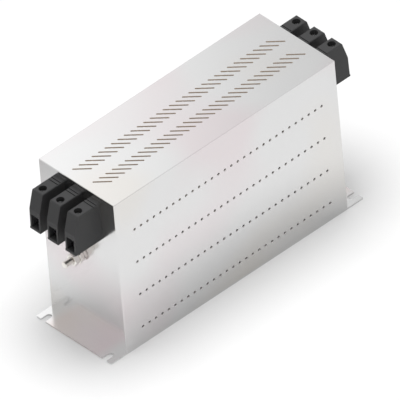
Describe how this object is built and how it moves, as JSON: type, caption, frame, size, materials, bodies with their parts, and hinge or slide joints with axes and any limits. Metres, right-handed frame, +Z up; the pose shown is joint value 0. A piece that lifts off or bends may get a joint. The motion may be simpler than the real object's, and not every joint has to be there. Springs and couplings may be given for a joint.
{
  "type": "emi filter",
  "caption": "Mains noise filter in a vented sheet-metal casing, with touch-safe screw terminals and an earth stud at each end and open fixing notches in its base flange.",
  "frame": {"origin": "middle of the underside of the base plate", "axes": "+X along the casing towards the load terminals, +Z up from the base plate"},
  "size_m": [0.2982, 0.087, 0.1535],
  "materials": {
    "casing": "bright satin plating",
    "plated_steel": "zinc plated",
    "terminal_moulding": "fine moulded grain",
    "tinned_copper": "tinned",
    "insulator": "plain",
    "core": "plain",
    "winding_wire": "enamelled copper",
    "board": "glass-fibre laminate",
    "capacitor_box": "plain",
    "resistor_body": "plain"
  },
  "bodies": {
    "root": {"cover": "casing", "base_plate": "casing", "base_screws": "plated_steel", "clinch_nuts": "plated_steel", "clamp_screws": "plated_steel", "earth_studs": "plated_steel", "earth_fixing_nuts": "plated_steel", "earth_washers": "plated_steel", "earth_nuts": "plated_steel", "choke_studs": "plated_steel", "choke_nuts": "plated_steel", "board_pillars": "plated_steel", "board_screws": "plated_steel", "line_terminal_1": "terminal_moulding", "line_terminal_2": "terminal_moulding", "line_terminal_3": "terminal_moulding", "load_terminal_1": "terminal_moulding", "load_terminal_2": "terminal_moulding", "load_terminal_3": "terminal_moulding", "line_clamp_cage_1": "plated_steel", "line_clamp_cage_2": "plated_steel", "line_clamp_cage_3": "plated_steel", "load_clamp_cage_1": "plated_steel", "load_clamp_cage_2": "plated_steel", "load_clamp_cage_3": "plated_steel", "line_current_bar_1": "tinned_copper", "line_current_bar_2": "tinned_copper", "line_current_bar_3": "tinned_copper", "load_current_bar_1": "tinned_copper", "load_current_bar_2": "tinned_copper", "load_current_bar_3": "tinned_copper", "line_earth_strap": "tinned_copper", "load_earth_strap": "tinned_copper", "choke_1_pad": "insulator", "choke_2_pad": "insulator", "choke_1_clamp_disc": "insulator", "choke_2_clamp_disc": "insulator", "choke_1_core": "core", "choke_2_core": "core", "phase_conductor_1": "winding_wire", "phase_conductor_2": "winding_wire", "phase_conductor_3": "winding_wire", "capacitor_board": "board", "line_x_capacitor_1": "capacitor_box", "line_x_capacitor_2": "capacitor_box", "line_x_capacitor_3": "capacitor_box", "load_x_capacitor_1": "capacitor_box", "load_x_capacitor_2": "capacitor_box", "load_x_capacitor_3": "capacitor_box", "y_capacitor_1": "capacitor_box", "y_capacitor_2": "capacitor_box", "y_capacitor_3": "capacitor_box", "discharge_resistor_1": "resistor_body", "discharge_resistor_2": "resistor_body", "discharge_resistor_3": "resistor_body"}
  },
  "joints": []
}
